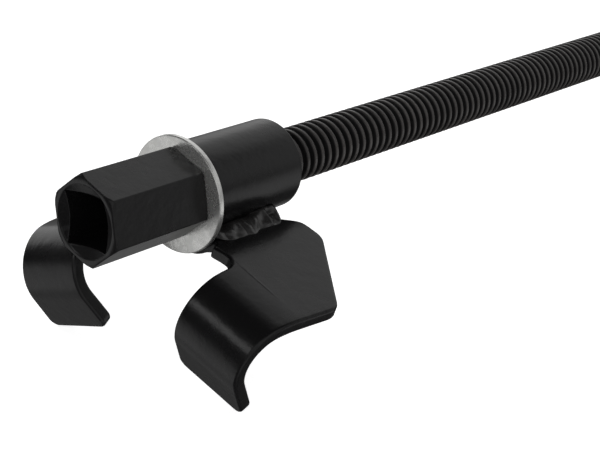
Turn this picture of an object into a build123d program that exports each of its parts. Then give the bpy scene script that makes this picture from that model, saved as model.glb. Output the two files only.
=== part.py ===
from build123d import *
import os
from math import asin, cos, degrees, radians, sin, sqrt

os.makedirs("parts", exist_ok=True)

# Coil spring compressor: two hooked claws on one threaded spindle.
# Millimetres. +X runs along the spindle from the drive head to the tail, +Z is up,
# and the claws hang below the spindle. The origin is the centre of the head's front face.
# Left is +Y and right is -Y, as seen from the head.

# Drive head
head_length = 30.0
head_across_flats = 20.0
head_turn = 20.3
head_face_radius = 10.6
head_chamfer_length = 0.9
square_drive = 13.0
square_turn = -4.2
square_depth = 17.0
lead_in_radius = 9.0
lead_in_depth = 1.2

# Spindle
thread_major = 14.9
thread_pitch = 3.0
thread_depth = 1.5
crest_turn = 125.0
flank_turn = 50.0
spigot_diameter = 11.0
spigot_length = 11.0
shank_end = 60.0
turns_per_length = 8
thread_lengths = 11
tip_diameter = 11.4
tip_length = 12.0
stop_pin_diameter = 4.0
stop_pin_length = 20.0

# Thrust washer: loose, so it hangs a little low and to one side of the shank
washer_outside = 30.0
washer_inside = 17.9
washer_thickness = 1.6
washer_gap = 0.1
washer_side = 0.55
washer_drop = 0.9

# Sleeves
sleeve_outside = 23.6
sleeve_length = 32.2
sleeve_chamfer = 0.5
running_clearance = 0.35
thread_clearance = 0.36
thread_flank_clearance = 46.0
nut_turns = 5
jaw_distance = 241.2

# Claws: a pressed plate with a channel under the sleeve and a hooked wing on each side.
# "across" is the distance from the spindle axis measured down along the wing's face.
plate_thickness = 3.5
wing_slope = 18.0
wing_height = -4.8
channel_clearance = 0.05
hook_start = 28.75
hook_entry_radius = 35.5
hook_entry_turn = 10.0
hook_radius = 12.1
hook_turn = 110.0
hook_tail = 10.3
hook_inner_across = 24.0
notch_front = 29.6
notch_radius = 3.8
step_across = 15.4
channel_front = 32.4
channel_back = 55.6
back_edge = 59.0
tip_corner_radius = 2.6
weld_across = 16.4
weld_front = 32.6
weld_back = 55.4
weld_lift_angle = 30.0
weld_bulge = 0.9

sleeve_front = head_length + washer_gap + washer_thickness + washer_gap
sleeve_radius = sleeve_outside / 2
thread_start = shank_end
thread_end = thread_start + thread_pitch * turns_per_length * thread_lengths
lower_front = sleeve_front + jaw_distance
mirror_plane = Plane.YZ.offset((sleeve_front + lower_front + sleeve_length) / 2)


def finish(part, label):
    part.label = label
    export_step(part, f"parts/{label}.step")


def thread_solid(radius, depth, crest, x_start, turns):
    """A screw: one cross-section, twisted a full turn for every pitch of length."""
    phase = 360 * (x_start - thread_start) / thread_pitch
    root = radius - depth
    gap = 360 - crest - 2 * flank_turn

    def point(distance, angle):
        turn = radians(phase + angle)
        return (distance * cos(turn), distance * sin(turn))

    def flank(first, last, start):
        steps = [i / 3 for i in range(4)]
        return [point(first + (last - first) * s, start + flank_turn * s) for s in steps]

    crest_end = crest / 2
    root_start = crest_end + flank_turn
    with BuildSketch(Plane.YZ.offset(x_start)) as section:
        with BuildLine():
            ThreePointArc(point(radius, -crest_end), point(radius, 0), point(radius, crest_end))
            Spline(*flank(radius, root, crest_end))
            ThreePointArc(
                point(root, root_start), point(root, 180), point(root, root_start + gap)
            )
            Spline(*flank(root, radius, root_start + gap))
        make_face()
    return Solid.extrude_linear_with_rotation(
        section.sketch.face(),
        center=(x_start, 0, 0),
        normal=(thread_pitch * turns, 0, 0),
        angle=360 * turns,
    )


# Drive head: a hexagon bar, turned at the front, with a square socket for a driver
with BuildPart() as drive_head:
    with BuildSketch(Plane.YZ):
        RegularPolygon(head_across_flats / 2, 6, major_radius=False, rotation=head_turn)
    extrude(amount=head_length)
    with BuildSketch(Plane.XY):
        with BuildLine():
            Polyline(
                (0, 0),
                (0, head_face_radius),
                (head_chamfer_length, head_across_flats * 0.58),
                (head_length, head_across_flats * 0.58),
                (head_length, 0),
                close=True,
            )
        make_face()
    revolve(axis=Axis.X, mode=Mode.INTERSECT)
    with BuildSketch(Plane.YZ):
        Rectangle(square_drive, square_drive, rotation=square_turn)
    extrude(amount=square_depth, mode=Mode.SUBTRACT)
    with BuildSketch(Plane.XY):
        with BuildLine():
            Polyline(
                (0, 0),
                (0, lead_in_radius),
                (lead_in_depth, square_drive / 2),
                (lead_in_depth, 0),
                close=True,
            )
        make_face()
    revolve(axis=Axis.X, mode=Mode.SUBTRACT)
    with BuildSketch(Plane.YZ.offset(head_length)):
        Circle(spigot_diameter / 2)
    extrude(amount=-spigot_length, mode=Mode.SUBTRACT)
finish(drive_head.part, "drive_head")

# Spindle: spigot in the head, plain shank in the upper sleeve, thread, cross-drilled tip
segment_length = thread_pitch * turns_per_length
thread_segments = [
    thread_solid(
        thread_major / 2, thread_depth, crest_turn, thread_start + i * segment_length, turns_per_length
    )
    for i in range(thread_lengths)
]
with BuildPart() as spindle:
    with BuildSketch(Plane.YZ.offset(head_length - spigot_length)):
        Circle(spigot_diameter / 2)
    extrude(amount=spigot_length)
    with BuildSketch(Plane.YZ.offset(head_length)):
        Circle(thread_major / 2)
    extrude(amount=shank_end - head_length)
    add(thread_segments)
    with BuildSketch(Plane.YZ.offset(thread_end)):
        Circle(tip_diameter / 2)
    extrude(amount=tip_length)
    chamfer(spindle.faces().sort_by(Axis.X)[-1].edges(), 1.2)
    with BuildSketch(Plane.XY):
        with Locations((thread_end + tip_length / 2, 0)):
            Circle(stop_pin_diameter / 2)
    extrude(amount=tip_diameter, both=True, mode=Mode.SUBTRACT)
finish(spindle.part, "threaded_spindle")

# Stop pin: a slotted spring pin across the spindle's tip, so the lower claw can't run off
with BuildPart() as stop_pin:
    with BuildSketch(Plane.XY.offset(-stop_pin_length / 2)):
        with Locations((thread_end + tip_length / 2, 0)):
            Circle(stop_pin_diameter / 2)
            Circle(stop_pin_diameter * 0.3, mode=Mode.SUBTRACT)
        with Locations((thread_end + tip_length / 2 + stop_pin_diameter / 2, 0)):
            Rectangle(stop_pin_diameter, 0.8, mode=Mode.SUBTRACT)
    extrude(amount=stop_pin_length)
finish(stop_pin.part, "stop_pin")

# Thrust washer between the head and the upper sleeve
with BuildPart() as thrust_washer:
    with BuildSketch(Plane.YZ.offset(head_length + washer_gap)):
        with Locations((washer_side, -washer_drop)):
            Circle(washer_outside / 2)
            Circle(washer_inside / 2, mode=Mode.SUBTRACT)
    extrude(amount=washer_thickness)
    chamfer(thrust_washer.edges().filter_by(GeomType.CIRCLE), 0.15)
finish(thrust_washer.part, "thrust_washer")

# Upper sleeve: a plain tube that turns freely on the shank
with BuildPart() as upper_sleeve:
    with BuildSketch(Plane.YZ.offset(sleeve_front)):
        Circle(sleeve_radius)
        Circle(thread_major / 2 + running_clearance, mode=Mode.SUBTRACT)
    extrude(amount=sleeve_length)
    chamfer(upper_sleeve.edges().filter_by(GeomType.CIRCLE), sleeve_chamfer)
finish(upper_sleeve.part, "upper_sleeve")

# Lower sleeve: the nut, threaded at its front and bored clear behind the thread.
# It sits a whole number of pitches along the thread, so the two are in mesh.
nut_length = thread_pitch * nut_turns
nut_thread = thread_solid(
    thread_major / 2 + thread_clearance,
    thread_depth,
    crest_turn + 2 * thread_flank_clearance,
    lower_front,
    nut_turns,
)
with BuildPart() as lower_sleeve:
    with BuildSketch(Plane.YZ.offset(lower_front)):
        Circle(sleeve_radius)
    extrude(amount=sleeve_length)
    chamfer(lower_sleeve.edges().filter_by(GeomType.CIRCLE), sleeve_chamfer)
    with BuildSketch(Plane.YZ.offset(lower_front + nut_length)):
        Circle(thread_major / 2 + 2 * thread_clearance)
    extrude(amount=sleeve_length, mode=Mode.SUBTRACT)
    add(nut_thread, mode=Mode.SUBTRACT)
finish(lower_sleeve.part, "lower_threaded_sleeve")

# Upper claw: a channel that cradles the sleeve, and two wings that slope down and out.
# Each wing's front edge curls under into a hook. The right wing is made, then mirrored.
slope = radians(wing_slope)
down_wing = Vector(0, -cos(slope), -sin(slope))
off_wing = Vector(0, -sin(slope), cos(slope))
channel_inner = sleeve_radius + channel_clearance
channel_outer = channel_inner + plate_thickness
wing_start = sqrt(channel_inner**2 - wing_height**2)
wing_width = 38.0


def hook_path(depth):
    """The hook's side view, as a path on the surface that lies depth below the wing's face."""
    flat = Line((back_edge + 5, wing_height - depth), (hook_start, wing_height - depth))
    entry = JernArc(flat @ 1, flat % 1, hook_entry_radius - depth, hook_entry_turn)
    curl = JernArc(entry @ 1, entry % 1, hook_radius - depth, hook_turn)
    tail = PolarLine(curl @ 1, hook_tail, direction=curl % 1)
    return flat @ 0, tail @ 1


with BuildPart() as upper_claw:
    with BuildSketch(Plane(down_wing * wing_start, (1, 0, 0), down_wing)):
        with BuildLine():
            outer_start, outer_end = hook_path(0)
            inner_start, inner_end = hook_path(plate_thickness)
            Line(outer_end, inner_end)
            Line(outer_start, inner_start)
        make_face()
    extrude(amount=wing_width)
    with BuildSketch(Plane((0, 0, 0), (1, 0, 0), -off_wing)):
        with BuildLine():
            FilletPolyline(
                (0, hook_inner_across),
                (notch_front, hook_inner_across),
                (notch_front, step_across),
                (channel_front, step_across),
                (channel_front, 0),
                (channel_back, 0),
                (channel_back, 14.6),
                (back_edge, 18.6),
                (back_edge, 26.2),
                (40.6, 48.2),
                (0, 44.0),
                radius=[0.5, notch_radius, 0.9, 0.6, 0.5, 0.5, 3, 4, 5, 2.6, 0.5],
                close=True,
            )
        make_face()
    extrude(amount=60, both=True, mode=Mode.INTERSECT)
    tip_edges = upper_claw.edges().filter_by(
        lambda edge: edge.center().Z < -20 and 3.4 < edge.length < 3.6
    )
    fillet(tip_edges, tip_corner_radius)
    mirror(about=Plane.XZ)
    with BuildSketch(Plane.YZ.offset(channel_front)):
        Circle(channel_outer)
        Circle(channel_inner, mode=Mode.SUBTRACT)
        ridge = wing_height / cos(slope)
        eave = ridge - 30 * sin(slope) / cos(slope)
        with BuildLine():
            Polyline((0, ridge), (30, eave), (30, -30), (-30, -30), (-30, eave), close=True)
        make_face(mode=Mode.INTERSECT)
    extrude(amount=channel_back - channel_front)
finish(upper_claw.part, "upper_claw")

# Fillet weld along the seam between the sleeve and each wing
weld_top = radians(-90 - (90 - weld_lift_angle))
toe = down_wing * weld_across + off_wing * wing_height
root = down_wing * sqrt(sleeve_radius**2 - wing_height**2) + off_wing * wing_height
weld_lift = radians(weld_lift_angle)
top = Vector(0, -sleeve_radius * cos(weld_lift), -sleeve_radius * sin(weld_lift))
seam = radians((weld_lift_angle + degrees(asin(-root.Z / sleeve_radius))) / 2)
crown = (toe + top) * 0.5 + (toe - top).rotate(Axis.X, 90).normalized() * weld_bulge
with BuildPart() as upper_weld_right:
    with BuildSketch(Plane.YZ.offset(weld_front)):
        with BuildLine():
            ThreePointArc(
                (top.Y, top.Z),
                (-sleeve_radius * cos(seam), -sleeve_radius * sin(seam)),
                (root.Y, root.Z),
            )
            Line((root.Y, root.Z), (toe.Y, toe.Z))
            ThreePointArc((toe.Y, toe.Z), (crown.Y, crown.Z), (top.Y, top.Z))
        make_face()
    extrude(amount=weld_back - weld_front)
finish(upper_weld_right.part, "upper_weld_right")


def mirrored(part, plane):
    with BuildPart() as copy:
        add(mirror(part, about=plane, mode=Mode.PRIVATE))
    return copy.part


finish(mirrored(upper_weld_right.part, Plane.XZ), "upper_weld_left")

# The lower claw and its welds face the upper ones along the spindle
finish(mirrored(upper_claw.part, mirror_plane), "lower_claw")
finish(mirrored(upper_weld_right.part, mirror_plane), "lower_weld_right")
finish(mirrored(mirrored(upper_weld_right.part, Plane.XZ), mirror_plane), "lower_weld_left")
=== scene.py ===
# Coil spring compressor: the visible pieces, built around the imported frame.
# Metres in Blender; the shapes below are written in millimetres and scaled once.
# +X runs along the spindle from the drive head, +Z is up, left is +Y and right is -Y.
from math import atan2, cos, pi, radians, sin, sqrt, tan

import bmesh
import bpy
from mathutils import Matrix, Vector, noise


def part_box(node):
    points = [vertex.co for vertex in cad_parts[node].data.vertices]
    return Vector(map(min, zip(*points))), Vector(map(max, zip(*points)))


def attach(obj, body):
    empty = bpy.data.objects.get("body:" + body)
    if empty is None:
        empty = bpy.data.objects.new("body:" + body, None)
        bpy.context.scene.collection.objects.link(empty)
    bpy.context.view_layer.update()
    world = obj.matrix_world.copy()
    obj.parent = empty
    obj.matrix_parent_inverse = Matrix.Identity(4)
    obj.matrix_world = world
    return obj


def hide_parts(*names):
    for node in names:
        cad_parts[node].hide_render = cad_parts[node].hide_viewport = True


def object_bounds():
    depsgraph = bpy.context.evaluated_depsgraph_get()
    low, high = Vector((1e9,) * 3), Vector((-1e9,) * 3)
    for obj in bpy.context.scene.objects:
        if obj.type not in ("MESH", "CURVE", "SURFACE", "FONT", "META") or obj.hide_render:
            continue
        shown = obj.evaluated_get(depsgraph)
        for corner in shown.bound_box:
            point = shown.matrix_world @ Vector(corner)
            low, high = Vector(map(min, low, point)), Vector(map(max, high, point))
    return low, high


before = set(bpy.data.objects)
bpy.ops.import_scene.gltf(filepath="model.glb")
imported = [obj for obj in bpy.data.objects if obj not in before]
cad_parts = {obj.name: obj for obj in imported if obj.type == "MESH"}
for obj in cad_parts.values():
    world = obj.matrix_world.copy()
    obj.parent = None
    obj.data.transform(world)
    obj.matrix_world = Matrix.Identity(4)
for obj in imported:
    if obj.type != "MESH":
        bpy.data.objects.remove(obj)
cad_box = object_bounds()
MM = 0.001  # metres in a millimetre


# ---------------------------------------------------------------- where things are
def extent(node):
    """A node's box in millimetres, as (low, high)."""
    low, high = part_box(node)
    return [value * 1000 for value in low], [value * 1000 for value in high]


HEAD = extent("drive_head")
SPINDLE = extent("threaded_spindle")
WASHER = extent("thrust_washer")
SLEEVE = extent("upper_sleeve")
NUT = extent("lower_threaded_sleeve")
# The lower jaw mirrors the upper one: x on one is MIRROR_SUM - x on the other
MIRROR_SUM = SLEEVE[0][0] + NUT[1][0]


# ---------------------------------------------------------------- mesh helpers
def make_object(name, verts, faces, node, body, material):
    """Makes a mesh object from millimetre points, and gives it to the frame."""
    mesh = bpy.data.meshes.new(name)
    mesh.from_pydata([tuple(c * MM for c in v) for v in verts], [], faces)
    work = bmesh.new()
    work.from_mesh(mesh)
    bmesh.ops.remove_doubles(work, verts=work.verts, dist=1e-7)
    bmesh.ops.recalc_face_normals(work, faces=work.faces)
    work.to_mesh(mesh)
    work.free()
    for face in mesh.polygons:
        face.use_smooth = True
    piece = bpy.data.objects.new(name, mesh)
    bpy.context.scene.collection.objects.link(piece)
    mesh.materials.append(material)
    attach(piece, body)
    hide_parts(node)
    return piece


def weigh_normals(piece):
    """Keeps broad faces flat in shading beside narrow rounded edges."""
    modifier = piece.modifiers.new("weighted normals", "WEIGHTED_NORMAL")
    modifier.mode = "FACE_AREA"
    modifier.weight = 60
    modifier.keep_sharp = True


def loft(rings, cap=True):
    """Points and faces through a row of rings. Rings have equal numbers of points."""
    verts = [point for ring in rings for point in ring]
    count = len(rings[0])
    faces = []
    for i in range(len(rings) - 1):
        for j in range(count):
            k = (j + 1) % count
            faces.append((i * count + j, i * count + k, (i + 1) * count + k, (i + 1) * count + j))
    if cap:
        faces.append(tuple(range(count)))
        faces.append(tuple(range(len(verts) - count, len(verts))))
    return verts, faces


def lathe(profile, segments=96, centre=(0.0, 0.0)):
    """Turns a closed profile of (x, radius) points about the X axis into a tube."""
    rings = []
    for j in range(segments):
        a = 2 * pi * j / segments
        rings.append([(x, centre[0] + r * cos(a), centre[1] + r * sin(a)) for x, r in profile])
    rings.append(rings[0])
    return loft(rings, cap=False)


def polar(stations, angles):
    """A closed shape about the X axis: each station is (x, radius as a function of angle)."""
    rings = []
    for x, radius in stations:
        rings.append([(x, radius(a) * cos(a), radius(a) * sin(a)) for a in angles])
    return loft(rings)


def arc(cx, cy, radius, start, stop, steps):
    """Points on an arc, angles in degrees."""
    return [
        (cx + radius * cos(radians(start + (stop - start) * i / steps)),
         cy + radius * sin(radians(start + (stop - start) * i / steps)))
        for i in range(steps + 1)
    ]


def join(*shells):
    """Several (verts, faces) as one."""
    verts, faces = [], []
    for shell_verts, shell_faces in shells:
        start = len(verts)
        verts.extend(shell_verts)
        faces.extend(tuple(start + i for i in face) for face in shell_faces)
    return verts, faces


# ---------------------------------------------------------------- materials
def material(name, metallic, specular):
    """A new node material, with the uniform values on the shader's own sockets."""
    mat = bpy.data.materials.new(name)
    mat.use_nodes = True
    shader = mat.node_tree.nodes["Principled BSDF"]
    shader.inputs["Metallic"].default_value = metallic
    shader.inputs["IOR"].default_value = 1.5
    shader.inputs["Specular IOR Level"].default_value = specular
    return mat


def noise_node(mat, scale, detail, stretch=(1, 1, 1), roughness=0.55):
    """Noise fixed to the object, stretched by its three scales."""
    nodes, links = mat.node_tree.nodes, mat.node_tree.links
    coords = nodes.new("ShaderNodeTexCoord")
    mapping = nodes.new("ShaderNodeMapping")
    mapping.inputs["Scale"].default_value = stretch
    texture = nodes.new("ShaderNodeTexNoise")
    texture.inputs["Scale"].default_value = scale
    texture.inputs["Detail"].default_value = detail
    texture.inputs["Roughness"].default_value = roughness
    links.new(coords.outputs["Object"], mapping.inputs["Vector"])
    links.new(mapping.outputs["Vector"], texture.inputs["Vector"])
    return texture.outputs["Fac"]


def ramp(mat, source, stops):
    """A colour ramp: stops are (position, grey or rgb)."""
    node = mat.node_tree.nodes.new("ShaderNodeValToRGB")
    mat.node_tree.links.new(source, node.inputs["Fac"])
    elements = node.color_ramp.elements
    while len(elements) < len(stops):
        elements.new(0.5)
    for element, (position, value) in zip(elements, stops):
        element.position = position
        rgb = value if isinstance(value, tuple) else (value, value, value)
        element.color = (*rgb, 1)
    return node.outputs["Color"]


def mix(mat, factor, first, second):
    """Mixes two colours. Each value is a socket, a grey or an rgb."""
    node = mat.node_tree.nodes.new("ShaderNodeMix")
    node.data_type = "RGBA"
    links = mat.node_tree.links
    for name, value in (("Factor", factor), ("A", first), ("B", second)):
        socket = node.inputs[name]
        if hasattr(value, "is_linked"):
            links.new(value, socket)
        elif isinstance(value, tuple):
            socket.default_value = (*value, 1)
        else:
            socket.default_value = value
    return node.outputs["Result"]


def bump(mat, layers):
    """Stacks bump layers: each is (height, strength, distance in metres)."""
    nodes, links = mat.node_tree.nodes, mat.node_tree.links
    last = None
    for height, strength, distance in layers:
        node = nodes.new("ShaderNodeBump")
        node.inputs["Strength"].default_value = strength
        node.inputs["Distance"].default_value = distance
        links.new(height, node.inputs["Height"])
        if last is not None:
            links.new(last, node.inputs["Normal"])
        last = node.outputs["Normal"]
    return last


def plug(mat, **sockets):
    """Links colour, roughness and normal into the shader."""
    shader = mat.node_tree.nodes["Principled BSDF"]
    names = {"colour": "Base Color", "roughness": "Roughness", "normal": "Normal"}
    for key, value in sockets.items():
        mat.node_tree.links.new(value, shader.inputs[names[key]])


def edge_wear_and_sheen(mat, low, high):
    """Brighter where a surface turns sharply outward: partly a worn corner, partly a painted edge highlight."""
    geometry = mat.node_tree.nodes.new("ShaderNodeNewGeometry")
    return ramp(mat, geometry.outputs["Pointiness"], [(low, 0.0), (high, 1.0)])


def black_finish():
    """Satin black over steel, with faint dust, and sharp corners lightened partly by being worn and partly as a
    painted edge highlight.
    """
    mat = material("black_finish", 0.0, 0.42)
    patches = noise_node(mat, 45, 4)
    fine = noise_node(mat, 900, 3)
    peel = noise_node(mat, 260, 2)
    scuff = noise_node(mat, 120, 6, (1, 3.2, 1), 0.7)
    base = ramp(mat, patches, [(0.3, (0.0026, 0.0025, 0.0027)), (0.7, (0.0042, 0.0041, 0.0043))])
    dust = ramp(mat, scuff, [(0.62, 0.0), (0.78, 0.22)])
    colour = mix(mat, dust, base, (0.010, 0.010, 0.0104))
    # Painted edge highlight, partly worn corners too: sharp outward corners are lightened towards a dark grey.
    wear_and_sheen = ramp(mat, edge_wear_and_sheen(mat, 0.52, 0.62), [(0.0, 0.0), (1.0, 0.35)])
    colour = mix(mat, wear_and_sheen, colour, (0.02, 0.02, 0.021))
    rough = ramp(mat, patches, [(0.25, 0.24), (0.75, 0.31)])
    rough = mix(mat, dust, rough, (0.5, 0.5, 0.5))
    normal = bump(mat, [(peel, 0.2, 0.0004), (fine, 0.22, 0.00012)])
    plug(mat, colour=colour, roughness=rough, normal=normal)
    return mat


def root_shade_crest_sheen(mat, low, high):
    """Rises from 0 to 1 between two distances, in millimetres, from the spindle's axis: the mask for the
    thread's painted root shade and crest highlight.
    """
    nodes, links = mat.node_tree.nodes, mat.node_tree.links
    coords = nodes.new("ShaderNodeTexCoord")
    flat = nodes.new("ShaderNodeVectorMath")
    flat.operation = "MULTIPLY"
    flat.inputs[1].default_value = (0.0, 1.0, 1.0)
    length = nodes.new("ShaderNodeVectorMath")
    length.operation = "LENGTH"
    rise = nodes.new("ShaderNodeMapRange")
    rise.inputs["From Min"].default_value = low * MM
    rise.inputs["From Max"].default_value = high * MM
    links.new(coords.outputs["Object"], flat.inputs[0])
    links.new(flat.outputs["Vector"], length.inputs[0])
    links.new(length.outputs["Value"], rise.inputs["Value"])
    return rise.outputs["Result"]


def black_oxide():
    """Black oxide, with painted shade darkening the thread's roots, and crests lightened partly by being worn
    and partly as a painted highlight.
    """
    mat = material("black_oxide", 0.0, 0.42)
    patches = noise_node(mat, 70, 4)
    streaks = noise_node(mat, 500, 3, (3, 1, 1))
    crest = SPINDLE[1][1]
    # Painted shade in the thread's roots and a painted highlight on its crests, the crests partly worn too: the
    # colour runs from near black at the root to dark grey at the crest.
    shade_to_sheen = root_shade_crest_sheen(mat, crest - 0.42, crest - 0.06)
    wear_and_sheen = ramp(mat, patches, [(0.3, (0.022, 0.020, 0.0195)), (0.7, (0.038, 0.0345, 0.033))])
    base = mix(mat, shade_to_sheen, (0.0012, 0.0012, 0.0014), wear_and_sheen)
    rough = mix(mat, shade_to_sheen, (0.62, 0.62, 0.62), ramp(mat, streaks, [(0.3, 0.22), (0.7, 0.34)]))
    normal = bump(mat, [(streaks, 0.15, 0.00012)])
    plug(mat, colour=base, roughness=rough, normal=normal)
    return mat


def weld_bead():
    """Painted weld metal, shinier and rougher than the plate."""
    mat = material("weld_bead", 0.0, 0.9)
    patches = noise_node(mat, 160, 4)
    grit = noise_node(mat, 700, 5, (1, 1, 1), 0.7)
    base = ramp(mat, patches, [(0.3, (0.006, 0.0057, 0.0057)), (0.7, (0.011, 0.0105, 0.0103))])
    rough = ramp(mat, grit, [(0.3, 0.22), (0.7, 0.42)])
    normal = bump(mat, [(patches, 0.15, 0.0004), (grit, 0.12, 0.0001)])
    plug(mat, colour=base, roughness=rough, normal=normal)
    return mat


def zinc_plate():
    """Dull zinc plating with soft patches."""
    mat = material("zinc_plate", 0.92, 0.5)
    patches = noise_node(mat, 110, 5)
    grain = noise_node(mat, 1500, 3)
    spangle = noise_node(mat, 330, 2)
    base = ramp(mat, patches, [(0.3, (0.76, 0.76, 0.745)), (0.7, (0.89, 0.89, 0.865))])
    base = mix(mat, ramp(mat, spangle, [(0.35, 0.0), (0.75, 0.3)]), base, (0.58, 0.58, 0.56))
    rough = ramp(mat, spangle, [(0.3, 0.22), (0.7, 0.32)])
    normal = bump(mat, [(spangle, 0.12, 0.0003), (grain, 0.2, 0.0001)])
    plug(mat, colour=base, roughness=rough, normal=normal)
    return mat


def spring_pin():
    """Grey spring steel, drawn along the pin."""
    mat = material("spring_pin", 1.0, 0.5)
    patches = noise_node(mat, 260, 4)
    streaks = noise_node(mat, 900, 3, (1, 1, 0.2))
    base = ramp(mat, patches, [(0.3, (0.16, 0.16, 0.165)), (0.7, (0.26, 0.26, 0.27))])
    rough = ramp(mat, streaks, [(0.3, 0.28), (0.7, 0.42)])
    plug(mat, colour=base, roughness=rough, normal=bump(mat, [(streaks, 0.2, 0.0001)]))
    return mat


BLACK = black_finish()
OXIDE = black_oxide()
WELD = weld_bead()
ZINC = zinc_plate()
PIN = spring_pin()

# ---------------------------------------------------------------- drive head
ACROSS = 20.0
HEX_TURN = 20.3
HEX_CORNER = 0.45
SQUARE = 13.0
SQUARE_TURN = -4.2
SQUARE_CORNER = 0.5
SOCKET_DEPTH = 17.0
FRONT_LIMIT = 10.45  # the turned front's radius
LEAD_IN = 8.95  # the round mouth's radius
SHANK_RADIUS = 7.45


def polygon_radius(across, sides, turn, corner):
    """Distance from the axis to a regular polygon with rounded corners, by angle."""
    half = across / 2
    step = 2 * pi / sides
    reach = (half - corner) / cos(step / 2)
    limit = step / 2 - atan2(reach * sin(step / 2), half)

    def radius(angle):
        off = (angle - radians(turn) + step / 2) % step - step / 2
        if abs(off) < limit:
            return reach * cos(off) + sqrt(max(corner**2 - (reach * sin(off)) ** 2, 0))
        return half / cos(step / 2 - abs(off))

    return radius


def head_angles():
    """Evenly spread angles, with more where a corner of the hexagon or square is."""
    angles = {round(2 * pi * i / 144, 5) for i in range(144)}
    for sides, turn in ((6, HEX_TURN), (4, 45 + SQUARE_TURN)):
        for k in range(sides):
            for i in range(-8, 9):
                angles.add(round(radians(turn + 360 / sides * k + i * 0.35) % (2 * pi), 5))
    spaced = []
    for angle in sorted(angles):
        if not spaced or angle - spaced[-1] > 0.002:
            spaced.append(angle)
    return spaced


def build_head():
    """The hexagon bar: back face, turned front, round mouth, square socket."""
    hexagon = polygon_radius(ACROSS, 6, HEX_TURN, HEX_CORNER)
    square = polygon_radius(SQUARE, 4, SQUARE_TURN + 45, SQUARE_CORNER)
    back = HEAD[1][0]

    def turned(limit):
        return lambda a: min(hexagon(a), limit)

    def rim(pull):
        return lambda a: min(hexagon(a), FRONT_LIMIT) - pull

    def opened(limit):
        return lambda a: max(square(a), limit)

    stations = [(back, lambda a: 4.0), (back, turned(10.4))]
    stations += [(back - 0.5 + dx, turned(r)) for dx, r in ((0.42, 10.7), (0.25, 11.1), (0.0, 11.6))]
    stations += [(x, turned(12.0)) for x in (back - 3, 24.0, 18.0, 12.0, 6.0, 2.0)]
    stations += [(1.1 - 0.1 * i, turned(11.75 - 0.11 * i)) for i in range(9)]
    stations += [(0.22, turned(10.7)), (0.16, turned(10.55))]
    stations += [(0.1, rim(0.12)), (0.04, rim(0.3)), (0.0, rim(0.55))]
    stations += [(0.0, lambda a: 9.3), (0.03, lambda a: 9.16), (0.1, lambda a: 9.04)]
    stations += [(0.2 + 0.1 * i, opened(LEAD_IN - 0.235 * i)) for i in range(12)]
    stations += [(x, opened(6.3)) for x in (1.8, 4.0, 8.0, 12.0, 16.6)]
    stations += [(SOCKET_DEPTH, lambda a: square(a) * 0.96), (SOCKET_DEPTH + 0.3, lambda a: square(a) * 0.3)]
    verts, faces = polar(stations, head_angles())
    piece = make_object("drive_head_forged", verts, faces, "drive_head", "spindle", BLACK)
    weigh_normals(piece)


# ---------------------------------------------------------------- thrust washer and sleeves
WASHER_RADIUS = 15.0
WASHER_BORE = 8.95
TUBE_RADIUS = 11.8
SLEEVE_BORE = 7.8
NUT_CREST = 6.31
NUT_ROOT = 7.81
NUT_BORE = 8.17


def tube_profile(x0, x1, inner, outer, edge, bore_edge):
    """A tube's section with rounded edges."""
    points = arc(x0 + edge, outer - edge, edge, 180, 90, 5)
    points += arc(x1 - edge, outer - edge, edge, 90, 0, 5)
    points += arc(x1 - bore_edge, inner + bore_edge, bore_edge, 0, -90, 4)
    points += arc(x0 + bore_edge, inner + bore_edge, bore_edge, -90, -180, 4)
    return points


def dense(profile, span):
    """Adds points along a profile's long straight runs."""
    out = []
    for i, (x, r) in enumerate(profile):
        nx, nr = profile[(i + 1) % len(profile)]
        out.append((x, r))
        steps = int(sqrt((nx - x) ** 2 + (nr - r) ** 2) / span)
        out += [(x + (nx - x) * k / (steps + 1), r + (nr - r) * k / (steps + 1)) for k in range(1, steps + 1)]
    return out


def build_washer():
    """The loose washer, wherever the frame has it hanging."""
    centre = ((WASHER[0][1] + WASHER[1][1]) / 2, (WASHER[0][2] + WASHER[1][2]) / 2)
    profile = tube_profile(WASHER[0][0], WASHER[1][0], WASHER_BORE, WASHER_RADIUS, 0.32, 0.2)
    verts, faces = lathe(dense(profile, 1.5), 144, centre)
    piece = make_object("thrust_washer_zinc", verts, faces, "thrust_washer", "washer", ZINC)
    weigh_normals(piece)


def build_sleeves():
    """The plain upper tube, and the lower one with its thread."""
    profile = tube_profile(SLEEVE[0][0], SLEEVE[1][0], SLEEVE_BORE, TUBE_RADIUS, 0.6, 0.5)
    verts, faces = lathe(dense(profile, 3.0), 128)
    piece = make_object("upper_sleeve_tube", verts, faces, "upper_sleeve", "upper_jaw", BLACK)
    weigh_normals(piece)
    x0, x1 = NUT[0][0], NUT[1][0]
    profile = tube_profile(x0, x1, NUT_BORE, TUBE_RADIUS, 0.6, 0.5)
    # The bore narrows to the thread's crests at the front, as rings that stand for the thread
    threads = []
    x = x0 + 0.6
    while x < x0 + 14.5:
        threads += [(x, NUT_ROOT), (x + 1.75, NUT_ROOT), (x + 2.15, NUT_CREST), (x + 2.6, NUT_CREST)]
        x += PITCH
    profile = [p for p in profile if p[1] > 8.8 or p[0] > x0 + 20]
    profile += [(x0 + 15.2, NUT_BORE)] + threads[::-1] + [(x0 + 0.3, 8.0), (x0, 8.4)]
    verts, faces = lathe(dense(profile, 3.0), 96)
    node = "lower_threaded_sleeve"
    piece = make_object("lower_sleeve_nut", verts, faces, node, "lower_jaw", BLACK)
    weigh_normals(piece)


# ---------------------------------------------------------------- spindle
PITCH = 3.0
MAJOR = SHANK_RADIUS
MINOR = 5.95
THREAD_START = 60.0
THREAD_END = 324.0
TIP_RADIUS = 5.7


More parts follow.
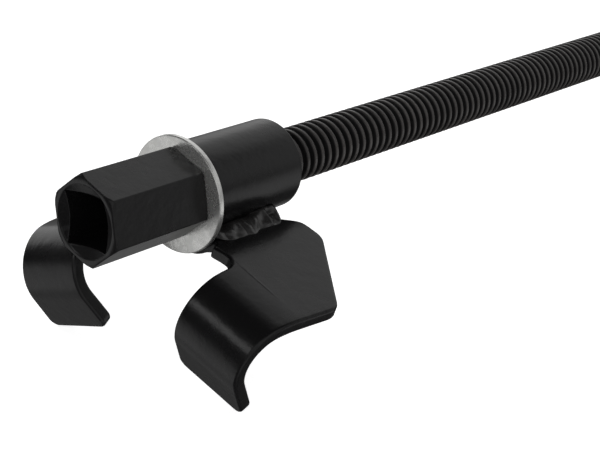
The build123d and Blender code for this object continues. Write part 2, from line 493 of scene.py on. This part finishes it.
def thread_section():
    """One pitch of the thread in the axial plane: (distance along, radius)."""
    crest, flank = 125 / 360 * PITCH, 50 / 360 * PITCH
    lean = atan2(flank, MAJOR - MINOR)
    corner = 0.26
    points = [(-crest * 0.18, MAJOR), (crest * 0.18, MAJOR)]
    edge = crest / 2
    soft = corner * tan((pi / 2 - lean) / 2)
    for i in range(4):
        a = (pi / 2 - lean) * i / 3
        points.append((edge - soft + corner * sin(a), MAJOR - corner + corner * cos(a)))
    base = edge + flank
    for i in range(4):
        a = (pi / 2 - lean) * (1 - i / 3)
        points.append((base + soft - corner * sin(a), MINOR + corner - corner * cos(a)))
    gap = PITCH - 2 * base
    points.append((base + gap * 0.5, MINOR))
    mirrored = [(PITCH - x, r) for x, r in points[2:10]]
    return points + mirrored[::-1]


def build_spindle():
    """The rolled thread as one helix, with the shank and the tip as solids that overlap it."""
    section = thread_section()
    count = len(section)
    slices = 64
    first, last = THREAD_START - PITCH * 0.5, THREAD_END + PITCH * 0.1
    turns = int((last - first) / PITCH) - 1
    verts = []

    def index(slice_number, k):
        while slice_number >= slices:
            slice_number -= slices
            k += count
        return k * slices + slice_number

    total = turns * count
    for k in range(total + count):
        along, radius = section[k % count]
        for j in range(slices):
            a = 2 * pi * j / slices
            x = first + along + PITCH * (k // count + j / slices)
            limit = max(MINOR - 0.1, min(MAJOR, MINOR - 0.1 + (THREAD_END - x) * 0.9))
            verts.append((x, min(radius, limit) * cos(a), min(radius, limit) * sin(a)))
    faces = []
    for k in range(total):
        for j in range(slices):
            faces.append((index(j, k), index(j + 1, k), index(j + 1, k + 1), index(j, k + 1)))
    near = len(verts)
    verts.append((first, 0.0, 0.0))
    verts.append((first + PITCH * (turns + 1), 0.0, 0.0))
    for k, centre in ((0, near), (total, near + 1)):
        rim = [index(j, k) for j in range(slices)] + [index(0, k + i) for i in range(count, 0, -1)]
        for i in range(len(rim)):
            faces.append((rim[i], rim[(i + 1) % len(rim)], centre))
    thread = (verts, faces)
    shank = [(20.0, lambda a: 5.4), (29.9, lambda a: 5.4), (30.0, lambda a: 7.2), (30.2, lambda a: SHANK_RADIUS)]
    shank += [(x, lambda a: SHANK_RADIUS) for x in (36.0, 42.0, 48.0, 54.0, 60.5)]
    shank += [(61.2, lambda a: 6.6)]
    around = [2 * pi * i / 96 for i in range(96)]
    tip = [(THREAD_END - 6, lambda a: 5.5)]
    tip += [(THREAD_END + x, lambda a: TIP_RADIUS) for x in (-5, 4)]
    tip += [(SPINDLE[1][0] - 1.3, lambda a: TIP_RADIUS), (SPINDLE[1][0] - 1.1, lambda a: 5.62)]
    tip += [(SPINDLE[1][0] - 0.15, lambda a: 4.65), (SPINDLE[1][0], lambda a: 4.4)]
    verts, faces = join(thread, polar(shank, around), polar(tip, around))
    node = "threaded_spindle"
    make_object("threaded_spindle_rolled", verts, faces, node, "spindle", OXIDE)


def build_pin():
    """A slit spring pin across the tip."""
    low, high = extent("stop_pin")
    x, half = (low[0] + high[0]) / 2 - 0.02, (high[2] - low[2]) / 2
    outer, inner, slit = 2.0, 1.2, 14.0
    ring = arc(0, 0, outer, slit, 360 - slit, 40)
    rim = arc(0, 0, inner, 360 - slit * 1.6, slit * 1.6, 30)
    rings = []
    end = [(half - 0.7, 0.0), (half - 0.25, 0.1), (half, 0.3)]
    for z, pull in [(-z, pull) for z, pull in reversed(end)] + [(0, 0.0)] + end:
        grow = (outer - pull) / outer
        outside = [(x + px * grow, py * grow, z) for px, py in ring]
        rings.append(outside + [(x + px, py, z) for px, py in rim])
    verts, faces = loft(rings)
    piece = make_object("stop_pin_rolled", verts, faces, "stop_pin", "spindle", PIN)
    weigh_normals(piece)


# ---------------------------------------------------------------- claws
# A claw is a flat blank, cut with rounded edges and then bent, as the real one is pressed.
# On the blank, "along" is distance towards the tail and "across" is distance from the middle.
THICK = 3.5
SLOPE = radians(18.0)
WING_HEIGHT = -4.8
CRADLE = 11.85
BEND = 6.25
HOOK_START = 28.75
ENTRY = (35.5, radians(10.0))
CURL = (12.1, radians(110.0))
TAIL = 10.3
EDGE = 0.85
DIP_START = 23.5
DIP_END = 13.0
DIP_SOFTNESS = 66

middle = CRADLE + THICK / 2
bend_height = WING_HEIGHT - THICK / 2 - BEND
bend_across = sqrt((middle + BEND) ** 2 - bend_height**2)
bend_out = bend_across * cos(SLOPE) + bend_height * sin(SLOPE)
bend_up = -bend_across * sin(SLOPE) + bend_height * cos(SLOPE)
cradle_turn = atan2(bend_out, -bend_up)
cradle_length = middle * cradle_turn
bend_length = BEND * (cradle_turn + SLOPE)
shift = bend_across - cradle_length - bend_length
curl_start = HOOK_START - ENTRY[0] * ENTRY[1]
curl_end = curl_start - CURL[0] * CURL[1]
tip = curl_end - TAIL
curl_x = HOOK_START - ENTRY[0] * sin(ENTRY[1]) + CURL[0] * sin(ENTRY[1])
curl_n = -ENTRY[0] * (1 - cos(ENTRY[1])) - CURL[0] * cos(ENTRY[1])


def hook(along, depth):
    """Where a point of the blank comes to in the hook's side view, from the wing's face."""
    if along >= HOOK_START:
        return along, -depth
    if along >= curl_start:
        turn = (HOOK_START - along) / ENTRY[0]
        reach = ENTRY[0] - depth
        return HOOK_START - reach * sin(turn), -ENTRY[0] + reach * cos(turn)
    turn = ENTRY[1] + min(curl_start - along, CURL[0] * CURL[1]) / CURL[0]
    reach = CURL[0] - depth
    x, n = curl_x - reach * sin(turn), curl_n + reach * cos(turn)
    rest = max(curl_end - along, 0.0)
    return x - rest * cos(turn), n - rest * sin(turn)


def crease(along, across):
    """The faint raised line that the press leaves where the hook's bend begins."""
    t = across + shift
    line = 29.45 - 0.055 * (t - 25)
    fade = min(max((t - 23.2) / 1.5, 0.0), 1.0) * min(max((39.0 - t) / 5.0, 0.0), 1.0)
    return 0.13 * fade * max(1 - abs(along - line) / 0.24, 0.0)


def sink(t):
    """How far the wing dips below its own plane as it nears the sleeve."""
    if t >= DIP_START:
        return 0.0
    if t >= DIP_END:
        return (DIP_START - t) ** 2 / DIP_SOFTNESS
    share = max(t / DIP_END, 0.0)
    return (DIP_START - DIP_END) ** 2 / DIP_SOFTNESS * share**2 * (3 - 2 * share)


def press(along, across, depth):
    """Bends a point of the blank into the finished claw."""
    side = 1 if across < 0 else -1
    across = abs(across)
    if depth < 0.01:
        depth -= crease(along, across)
    x, n = hook(along, depth)
    if across >= cradle_length + bend_length:
        t, n = across + shift, WING_HEIGHT + n
        out, up = t * cos(SLOPE) + n * sin(SLOPE), -t * sin(SLOPE) + n * cos(SLOPE)
    elif across >= cradle_length:
        turn = (across - cradle_length) / BEND - cradle_turn
        reach = BEND + THICK / 2 - depth
        out, up = bend_out + reach * sin(turn), bend_up + reach * cos(turn)
    else:
        turn = across / middle
        reach = CRADLE + depth
        out, up = reach * sin(turn), -reach * cos(turn)
    dip = sink(out * cos(SLOPE) - up * sin(SLOPE))
    return x, side * (out - dip * sin(SLOPE)), up - dip * cos(SLOPE)


def rounded(points):
    """A polyline with arcs at its corners: points are (x, y, radius)."""
    out = []
    for i, (x, y, radius) in enumerate(points):
        if not radius:
            out.append((x, y))
            continue
        here = Vector((x, y))
        before = (Vector(points[i - 1][:2]) - here).normalized()
        after = (Vector(points[(i + 1) % len(points)][:2]) - here).normalized()
        half = before.angle(after) / 2
        pull = radius / tan(half)
        centre = here + (before + after).normalized() * (radius / sin(half))
        a, b = here + before * pull - centre, here + after * pull - centre
        steps = max(4, int(a.angle(b) / 0.2))
        total = a.angle_signed(b)
        for k in range(steps + 1):
            spin = Matrix.Rotation(-total * k / steps, 2)
            p = centre + spin @ a
            out.append((p.x, p.y))
    return out


def blank_outline():
    """The claw's blank, cut flat: one wing's outline, and its mirror image."""
    def edge(along):
        return 44.0 - shift + hook(along, 0)[0] * 4.2 / 40.6

    wing = [(32.0, 15.1 - shift, 1.0), (29.6, 15.4 - shift, 1.0), (29.6, 24.0 - shift, 3.8)]
    wing += [(tip, 24.0 - shift, 2.6), (tip, edge(tip), 2.6)]
    steps = 24
    for i in range(1, steps):
        along = tip + 4 + (HOOK_START + 2 - tip - 4) * i / steps
        wing.append((along, edge(along), 0))
    wing += [(40.6, 48.2 - shift, 5.0), (59.5, 26.2 - shift, 5.0)]
    wing += [(59.5, 18.4 - shift, 4.5), (55.9, 14.2 - shift, 1.5)]
    half = rounded([(32.0, -5.0, 0)] + wing + [(55.6, -5.0, 0)])[1:-1]
    return half + [(x, -y) for x, y in reversed(half)]


def inset(outline, distance):
    """Moves a closed outline inwards."""
    out = []
    count = len(outline)
    following = outline[1:] + outline[:1]
    area = sum(ax * by - bx * ay for (ax, ay), (bx, by) in zip(outline, following))
    sign = 1 if area > 0 else -1
    for i in range(count):
        p, q, r = (Vector(outline[(i + k) % count]) for k in (-1, 0, 1))
        d1, d2 = (q - p).normalized(), (r - q).normalized()
        n1, n2 = Vector((-d1.y, d1.x)) * sign, Vector((-d2.y, d2.x)) * sign
        bisector = (n1 + n2).normalized()
        out.append(tuple(q + bisector * distance / max(bisector.dot(n1), 0.3)))
    return out


def pressed_claw():
    """Cuts the flat blank's solid, slices it where it will bend, and bends it."""
    outline = blank_outline()
    work = bmesh.new()
    levels = [(EDGE * (1 - sin(radians(a))), EDGE * (1 - cos(radians(a)))) for a in (0, 18, 36, 54, 72, 90)]
    levels += [(i, THICK - d) for i, d in reversed(levels)]
    rings = []
    for pull, depth in levels:
        ring = inset(outline, pull) if pull > 1e-6 else outline
        rings.append([work.verts.new((x, y, -depth)) for x, y in ring])
    count = len(outline)
    work.faces.new(rings[0])
    work.faces.new(list(reversed(rings[-1])))
    for a, b in zip(rings, rings[1:]):
        for j in range(count):
            k = (j + 1) % count
            work.faces.new((a[j], b[j], b[k], a[k]))
    cuts_along = [HOOK_START - ENTRY[0] * ENTRY[1] * i / 4 for i in range(5)]
    cuts_along += [curl_start - CURL[0] * CURL[1] * i / 30 for i in range(1, 31)]
    cuts_along += [28.45 + 0.12 * i for i in range(11)]
    cuts_along += [curl_end - 2.5, curl_end - 5.0, curl_end - 7.5] + [31.0 + 2.7 * i for i in range(11)]
    cuts_across = [0.0]
    for side in (-1, 1):
        cuts_across += [side * cradle_length * i / 8 for i in range(1, 9)]
        cuts_across += [side * (cradle_length + bend_length * i / 8) for i in range(1, 9)]
        cuts_across += [side * (14.0 + 2.6 * i) for i in range(13)]
    for place, axis in [(c, 0) for c in cuts_along] + [(c, 1) for c in cuts_across]:
        point = [0.0, 0.0, 0.0]
        point[axis] = place
        normal = [0.0, 0.0, 0.0]
        normal[axis] = 1.0
        geometry = work.verts[:] + work.edges[:] + work.faces[:]
        bmesh.ops.bisect_plane(work, geom=geometry, plane_co=point, plane_no=normal, dist=1e-5)
    bmesh.ops.triangulate(work, faces=[f for f in work.faces if len(f.verts) > 4])
    work.verts.index_update()
    verts = [press(v.co.x, v.co.y, -v.co.z) for v in work.verts]
    faces = [tuple(v.index for v in f.verts) for f in work.faces]
    work.free()
    return verts, faces


def build_claws():
    """One pressing, used as it is and mirrored."""
    verts, faces = pressed_claw()
    piece = make_object("upper_claw_pressed", verts, faces, "upper_claw", "upper_jaw", BLACK)
    weigh_normals(piece)
    turned = [(MIRROR_SUM - x, y, z) for x, y, z in verts]
    piece = make_object("lower_claw_pressed", turned, faces, "lower_claw", "lower_jaw", BLACK)
    weigh_normals(piece)


# ---------------------------------------------------------------- weld beads
WELD_START = 32.7
WELD_STOP = 56.3


def slanted(across, height):
    """A point on the right wing, as (out, up)."""
    return Vector((across * cos(SLOPE) + height * sin(SLOPE), -across * sin(SLOPE) + height * cos(SLOPE)))


def step(value, low, high):
    """Rises smoothly from 0 to 1 between low and high."""
    share = min(max((value - low) / (high - low), 0.0), 1.0)
    return share * share * (3 - 2 * share)


def bead(seed):
    """A lumpy fillet weld on the right side, with a pocket before its last lump."""
    root = slanted(sqrt(TUBE_RADIUS**2 - WING_HEIGHT**2), WING_HEIGHT)
    steps, spokes = 190, 26
    rings = []
    for i in range(steps + 1):
        x = WELD_START + (WELD_STOP - WELD_START) * i / steps
        place = 2 * i / steps - 1
        size = max(1 - abs(place) ** 9, 0.0) ** 0.5 * 0.97 + 0.03
        drift = noise.noise(Vector((x * 0.2, seed, 1.7)))
        lift = radians(41.0 - 6.0 * step(x, 44.5, 47.5) + 2.5 * drift)
        top = Vector((TUBE_RADIUS * cos(lift), -TUBE_RADIUS * sin(lift)))
        across = 16.3 + 0.9 * noise.noise(Vector((x * 0.33, seed + 6.0, 0.2)))
        toe = slanted(across, WING_HEIGHT - sink(across) - 0.05)
        heart = slanted(10.7, -7.9)
        pocket = step(x, 50.6, 52.2) * (1 - step(x, 53.2, 54.6))
        wave = (x + drift * 3.0) / 3.7 + seed
        ripple = abs(sin(wave * pi)) ** 0.7
        ring = []
        for j in range(spokes + 1):
            share = j / spokes
            bulk = sin(pi * share)
            outward = (top - heart).lerp(toe - heart, share).normalized()
            lump = noise.noise(Vector((x * 0.3, share * 2.2, seed + 4.2))) * 0.75
            lump += noise.noise(Vector((x * 0.8, share * 3.0, seed + 9.1))) * 0.12
            grow = bulk * 0.55 + (lump + 0.34 * ripple - 0.1) * bulk**0.5
            grow -= 1.5 * pocket * bulk * step(share, 0.05, 0.4)
            point = root.lerp(top.lerp(toe, share) + outward * grow, size)
            ring.append((x, -point.x, point.y))
        ring.append((x, -heart.x, heart.y))
        rings.append(ring)
    return loft(rings)


def build_welds():
    """A bead on each side of each jaw, each with its own lumps."""
    for jaw, seed in (("upper", 3.1), ("lower", 7.7)):
        for side, sign in (("right", 1), ("left", -1)):
            verts, faces = bead(seed + (0 if sign > 0 else 2.3))
            if sign < 0:
                verts = [(x, -y, z) for x, y, z in verts]
            if jaw == "lower":
                verts = [(MIRROR_SUM - x, y, z) for x, y, z in verts]
            node = f"{jaw}_weld_{side}"
            make_object(f"{node}_bead", verts, faces, node, f"{jaw}_jaw", WELD)


build_head()
build_washer()
build_sleeves()
build_spindle()
build_pin()
build_claws()
build_welds()

# ---------------------------------------------------------------- floor, light and camera
FLOOR_Z = cad_box[0][2]
FLOOR_HALF = 6.0  # metres
DOME_RADIUS = 9.0  # metres


def paper(name, albedo, glow):
    """A matt pale material that glows a little, without any gloss."""
    mat = bpy.data.materials.new(name)
    mat.use_nodes = True
    shader = mat.node_tree.nodes["Principled BSDF"]
    shader.inputs["Base Color"].default_value = (albedo, albedo, albedo, 1)
    shader.inputs["Roughness"].default_value = 0.9
    shader.inputs["Specular IOR Level"].default_value = 0.0
    shader.inputs["Emission Color"].default_value = (1, 1, 1, 1)
    shader.inputs["Emission Strength"].default_value = glow
    return mat


def stage_floor():
    """The pale floor under the object's lowest point."""
    mesh = bpy.data.meshes.new("studio_floor")
    corners = [(-1, -1), (1, -1), (1, 1), (-1, 1)]
    mesh.from_pydata([(x * FLOOR_HALF, y * FLOOR_HALF, FLOOR_Z) for x, y in corners], [], [(0, 1, 2, 3)])
    floor = bpy.data.objects.new("studio_floor", mesh)
    bpy.context.scene.collection.objects.link(floor)
    mesh.materials.append(paper("studio_paper", 0.8, 0.75))
    floor.visible_glossy = False


def stage_backdrop():
    """A pale dome around everything, which only the camera sees."""
    mesh = bpy.data.meshes.new("studio_dome")
    work = bmesh.new()
    bmesh.ops.create_uvsphere(work, u_segments=48, v_segments=24, radius=DOME_RADIUS)
    work.to_mesh(mesh)
    work.free()
    dome = bpy.data.objects.new("studio_dome", mesh)
    bpy.context.scene.collection.objects.link(dome)
    mesh.materials.append(paper("studio_dome", 0.0, 1.0))
    dome.visible_diffuse = False
    dome.visible_glossy = False
    dome.visible_transmission = False
    dome.visible_volume_scatter = False
    dome.visible_shadow = False


def area_light(name, place, target, size, power):
    """A soft box aimed at a point. Its own reflection is left to the room."""
    data = bpy.data.lights.new(name, "AREA")
    data.shape = "RECTANGLE"
    data.size, data.size_y = size
    data.energy = power
    light = bpy.data.objects.new(name, data)
    light.location = place
    aim = Vector(target) - Vector(place)
    light.rotation_euler = aim.to_track_quat("-Z", "Y").to_euler()
    light.visible_glossy = False
    bpy.context.scene.collection.objects.link(light)


# The room as the object's surfaces see it, as soft patches of light over a dim base.
# Each is (elevation, azimuth, brightness, inner edge, outer edge), with angles in degrees.
ROOM_BASE = 0.05
ROOM = [
    (30, 18, 0.62, 14, 42),
    (12, 42, 0.36, 8, 20),
    (14, 80, 1.12, 14, 24),
    (68, 28, 0.18, 6, 16),
    (18, -36, 0.38, 8, 30),
    (-24, -41, 0.60, 9, 22),
    (31, 160, 2.9, 1, 9),
    (-22, 129, 0.52, 12, 26),
    (-52, 105, 0.20, 10, 26),
    (-36, 38, 0.20, 8, 20),
    (25, 215, 0.45, 12, 32),
    (15, 270, 0.40, 12, 34),
    (-30, 250, 0.30, 12, 40),
]


def studio_world():
    """Adds up the room's patches by direction."""
    world = bpy.data.worlds.new("studio")
    bpy.context.scene.world = world
    world.use_nodes = True
    nodes, links = world.node_tree.nodes, world.node_tree.links
    background = nodes["Background"]
    coords = nodes.new("ShaderNodeTexCoord")
    total = None
    for elevation, azimuth, brightness, inner, outer in ROOM:
        level, turn = radians(elevation), radians(azimuth)
        dot = nodes.new("ShaderNodeVectorMath")
        dot.operation = "DOT_PRODUCT"
        dot.inputs[1].default_value = (cos(level) * cos(turn), cos(level) * sin(turn), sin(level))
        links.new(coords.outputs["Generated"], dot.inputs[0])
        fade = nodes.new("ShaderNodeMapRange")
        fade.interpolation_type = "SMOOTHSTEP"
        fade.inputs["From Min"].default_value = cos(radians(outer))
        fade.inputs["From Max"].default_value = cos(radians(inner))
        fade.inputs["To Min"].default_value = ROOM_BASE if total is None else 0.0
        fade.inputs["To Max"].default_value = brightness + (ROOM_BASE if total is None else 0.0)
        links.new(dot.outputs["Value"], fade.inputs["Value"])
        if total is None:
            total = fade.outputs["Result"]
            continue
        add = nodes.new("ShaderNodeMath")
        add.operation = "ADD"
        links.new(total, add.inputs[0])
        links.new(fade.outputs["Result"], add.inputs[1])
        total = add.outputs["Value"]
    links.new(total, background.inputs["Color"])
    background.inputs["Strength"].default_value = 1.0


stage_floor()
stage_backdrop()
studio_world()
area_light("left_box", (-0.1, 1.1, 0.9), (0.1, 0, 0), (1.0, 0.8), 7)
area_light("front_box", (-0.9, -0.25, 0.35), (0.03, 0, 0), (0.8, 0.8), 5)
area_light("right_box", (0.5, -1.0, 0.9), (0.1, 0, 0), (0.8, 0.8), 5)

# The camera: its lens, the directions of its right, up and back, and its place in metres
camera_data = bpy.data.cameras.new("camera")
camera_data.lens = 84.718
camera_data.sensor_width = 36.0
camera_data.clip_start = 0.01
camera_data.clip_end = 50.0
camera = bpy.data.objects.new("camera", camera_data)
right = Vector((0.64345, -0.76342, 0.0563))
up = Vector((0.24736, 0.27696, 0.9285))
back = Vector((-0.72442, -0.58351, 0.36704))
place = Vector((-0.203145, -0.227126, 0.121164))
camera.matrix_world = Matrix.Translation(place) @ Matrix((right, up, back)).transposed().to_4x4()
bpy.context.scene.collection.objects.link(camera)
bpy.context.scene.camera = camera
bpy.context.scene.view_settings.view_transform = "Standard"
